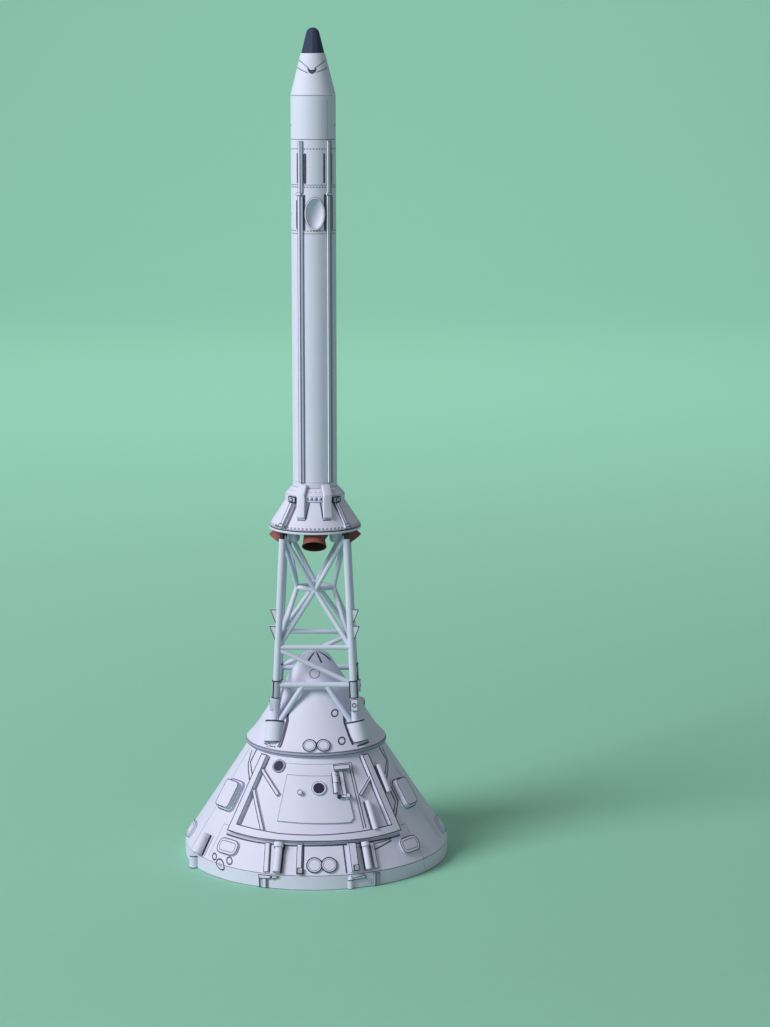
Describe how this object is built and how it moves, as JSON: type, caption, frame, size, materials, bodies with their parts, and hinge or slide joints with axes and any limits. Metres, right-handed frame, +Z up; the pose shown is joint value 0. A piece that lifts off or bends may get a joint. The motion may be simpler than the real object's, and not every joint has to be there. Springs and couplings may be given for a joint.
{
  "type": "card model space rocket with escape tower",
  "caption": "Small glued card model of a conical crew capsule under its launch cover, with a lattice escape tower, canted nozzles and a slim pointed motor tube.",
  "frame": {"origin": "centre of the base's underside, on the table it stands on", "axes": "+Z up along the capsule and motor axis; -Y towards the front, where the hatch is; +X to the right as seen from the front"},
  "size_m": [0.0408, 0.041, 0.1263],
  "materials": {
    "white_card": "matt coated card, printed with fine dark ink lines",
    "grey_card": "matt card printed grey",
    "navy_ink": "card with solid dark navy ink, slight sheen",
    "cap_ink": "charcoal navy ink, slight sheen",
    "red_brown": "card printed red-brown, dark inside the bells"
  },
  "bodies": {
    "root": {"base_disc": "white_card", "centre_strip": "white_card", "control_section": "white_card", "corner_canister": "white_card", "corner_window": "navy_ink", "cover_lip": "grey_card", "dish_section": "white_card", "flank_cover_left": "white_card", "flank_cover_right": "white_card", "frame_rod": "white_card", "hatch_frame": "white_card", "hatch_latch": "white_card", "hatch_panel": "white_card", "hatch_window": "navy_ink", "left_canister": "white_card", "left_strap": "white_card", "leg_cover_1": "white_card", "leg_cover_2": "white_card", "leg_cover_3": "white_card", "leg_cover_4": "white_card", "lip_port_pair": "white_card", "lower_cover": "white_card", "motor_tube": "white_card", "nose_cap": "cap_ink", "nose_cone": "white_card", "nose_section": "white_card", "nozzle_1": "red_brown", "nozzle_2": "red_brown", "nozzle_3": "red_brown", "nozzle_4": "red_brown", "rail_back_left": "white_card", "rail_back_right": "white_card", "rail_front_left": "white_card", "rail_front_right": "white_card", "right_canister": "white_card", "right_rod": "white_card", "right_strap": "white_card", "rim_band": "white_card", "rim_cover_left": "white_card", "rim_cover_right": "white_card", "rim_port_pair": "white_card", "side_box_left": "white_card", "side_box_right": "white_card", "skirt_collar": "white_card", "skirt_cone": "white_card", "skirt_floor": "white_card", "skirt_pad_1": "white_card", "skirt_pad_2": "white_card", "skirt_pad_3": "white_card", "skirt_pad_4": "white_card", "tower_face_1": "white_card", "tower_face_2": "white_card", "tower_face_3": "white_card", "tower_face_4": "white_card", "tower_leg_1": "white_card", "tower_leg_2": "white_card", "tower_leg_3": "white_card", "tower_leg_4": "white_card", "upper_cover": "white_card"}
  },
  "joints": []
}
